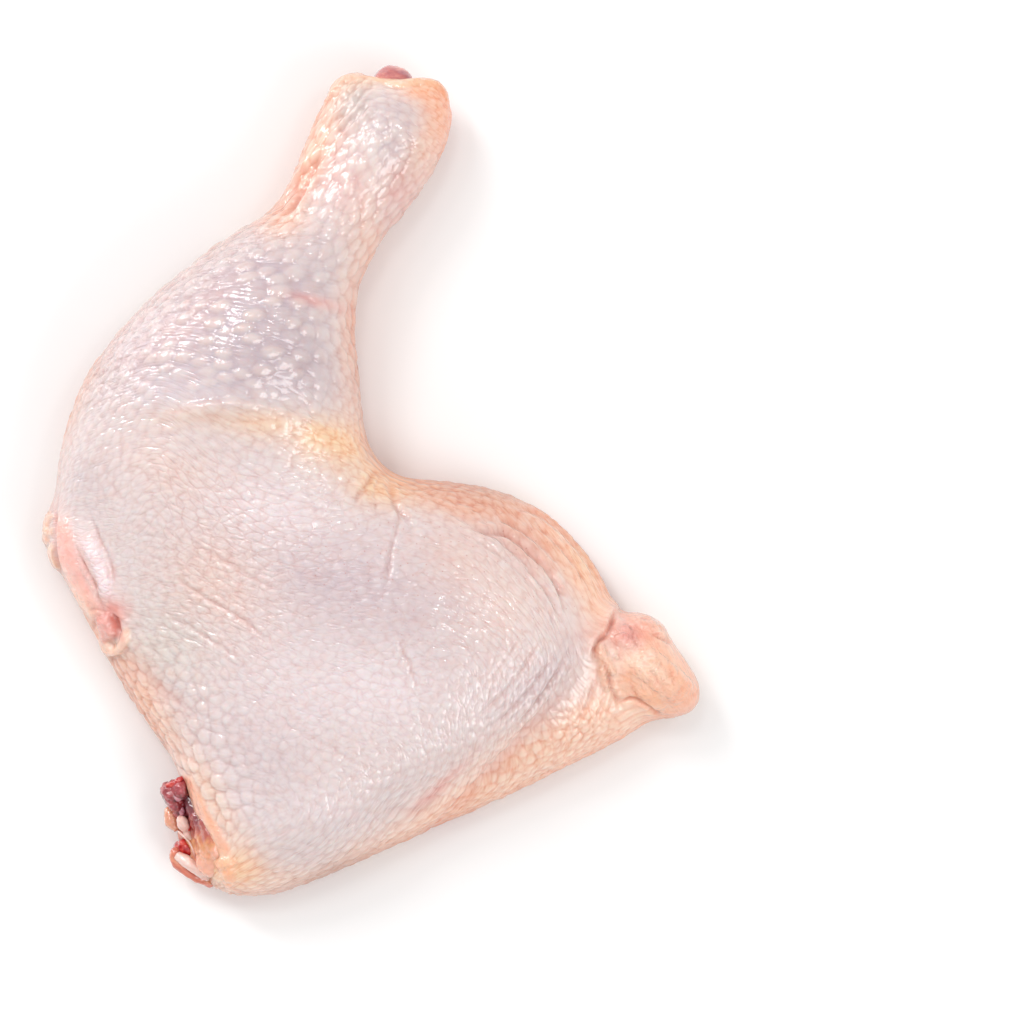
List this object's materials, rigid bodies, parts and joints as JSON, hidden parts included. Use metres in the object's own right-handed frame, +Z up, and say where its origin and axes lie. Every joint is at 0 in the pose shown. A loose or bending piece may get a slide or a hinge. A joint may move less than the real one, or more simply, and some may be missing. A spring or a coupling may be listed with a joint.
{
  "type": "raw chicken leg quarter",
  "caption": "Raw chicken leg quarter, skin side up: plump drumstick bent at the knee, broad thigh, strip of back with the tail, bone and meat showing at the cut.",
  "frame": {"origin": "middle of the part's bounding box, on the surface it rests on", "axes": "+Z up out of the skin side, +Y towards the hock end of the drumstick along the part's longest extent, +X towards the tail"},
  "size_m": [0.1648, 0.2084, 0.0394],
  "materials": {
    "raw_skin": "wet, translucent, pebbled with follicle bumps",
    "joint_cap": "wet and smooth",
    "marrow": "wet, dark red, glossy",
    "cartilage": "smooth, milky, glossy",
    "dark_meat": "wet, fibrous, semi-gloss"
  },
  "bodies": {
    "root": {"leg": "raw_skin", "hock_cartilage": "joint_cap", "spine_bone": "marrow", "cartilage_nub": "cartilage", "rib_end": "cartilage", "rib_meat": "dark_meat", "cut_meat": "dark_meat"}
  },
  "joints": []
}
